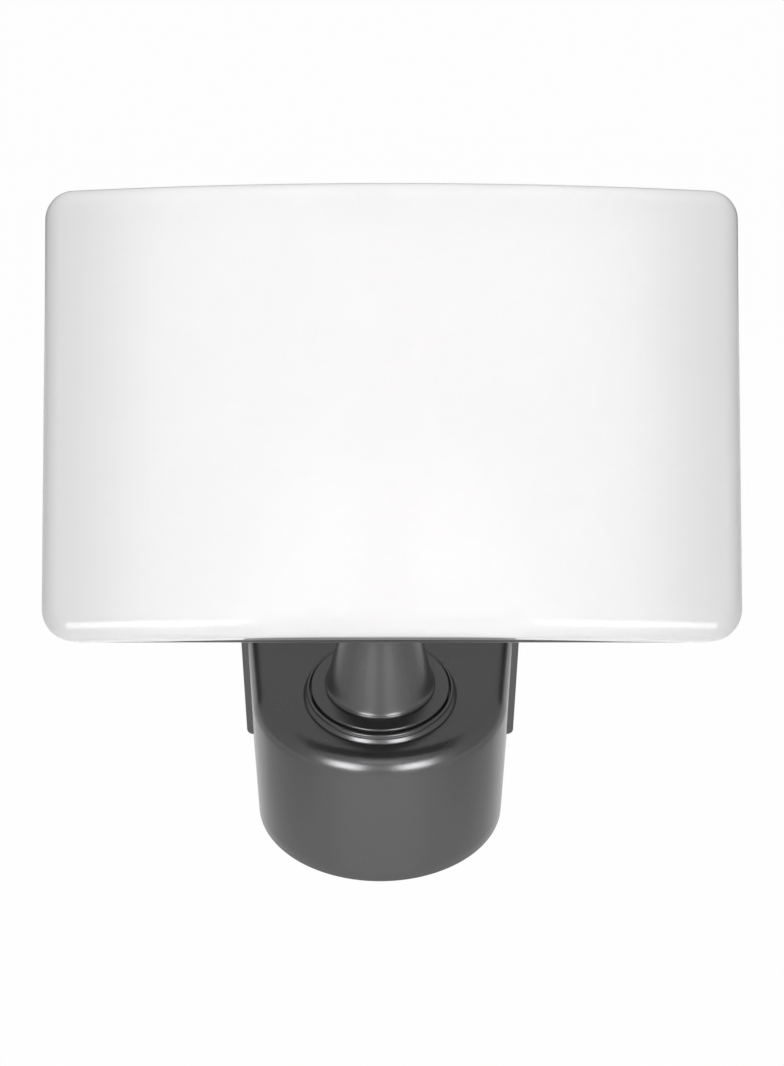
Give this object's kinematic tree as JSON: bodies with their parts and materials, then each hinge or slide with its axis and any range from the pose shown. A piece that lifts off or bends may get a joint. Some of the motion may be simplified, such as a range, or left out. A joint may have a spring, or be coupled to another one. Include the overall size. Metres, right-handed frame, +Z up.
{
  "type": "enclosed yagi antenna",
  "caption": "Enclosed directional yagi antenna: glossy white crowned radome on a dark grey wall base, with a swivelling conical stem and a friction tilt hinge.",
  "frame": {"origin": "centre of the wall plate's back face", "axes": "+Y into the wall, out of the plate's back face; +Z up; +X to the right of someone facing the wall"},
  "size_m": [0.3144, 0.1905, 0.3793],
  "materials": {
    "grey_paint": "satin metallic paint",
    "white_cover": "gloss",
    "dark_plastic": "fine moulded texture",
    "steel": "zinc plated",
    "aluminium": "rolled sheet",
    "brass": "bright drawn",
    "rubber": "matt",
    "nylon": "natural",
    "board": "solder-masked laminate"
  },
  "bodies": {
    "wall_base": {"mounting_plate": "grey_paint", "base_housing": "grey_paint", "bottom_cover": "grey_paint", "cover_screw_1": "steel", "cover_screw_2": "steel", "cover_screw_3": "steel", "lock_screw_1": "steel", "lock_screw_2": "steel", "bearing_ring": "grey_paint", "swivel_bush": "nylon", "spring_washer": "steel"},
    "stem": {"swivel_disc": "grey_paint", "retaining_nut": "steel", "stop_pin": "steel", "stem": "grey_paint", "stem_screw_1": "steel", "stem_screw_2": "steel", "stem_screw_3": "steel", "tilt_knuckle": "grey_paint", "knuckle_pin": "steel"},
    "head": {"head_bracket": "grey_paint", "bracket_screw_1": "steel", "bracket_screw_2": "steel", "bracket_screw_3": "steel", "bracket_screw_4": "steel", "tilt_bolt": "steel", "tilt_nut": "steel", "tilt_washer": "steel", "friction_washer": "nylon", "radome": "white_cover", "gasket": "rubber", "back_shell": "dark_plastic", "shell_screw_1": "steel", "shell_screw_2": "steel", "shell_screw_3": "steel", "shell_screw_4": "steel", "shell_screw_5": "steel", "shell_screw_6": "steel", "reflector_plate": "aluminium", "standoff_1": "aluminium", "standoff_2": "aluminium", "standoff_3": "aluminium", "standoff_4": "aluminium", "feed_board": "board", "director_comb_1": "aluminium", "director_comb_2": "aluminium", "director_comb_3": "aluminium", "director_comb_4": "aluminium", "dipole_1": "brass", "dipole_2": "brass", "dipole_3": "brass", "dipole_4": "brass", "coax_socket": "brass", "socket_nut": "steel"}
  },
  "joints": [
    {"name": "swivel", "type": "hinge", "parent": "wall_base", "child": "stem", "pos_m": [0, -0.066, 0.05165], "axis": [0, 0, 1], "range_deg": [-45, 45]},
    {"name": "tilt", "type": "hinge", "parent": "stem", "child": "head", "pos_m": [0, -0.066, 0.20745], "axis": [-1, 0, 0], "range_deg": [-42, 8]}
  ]
}
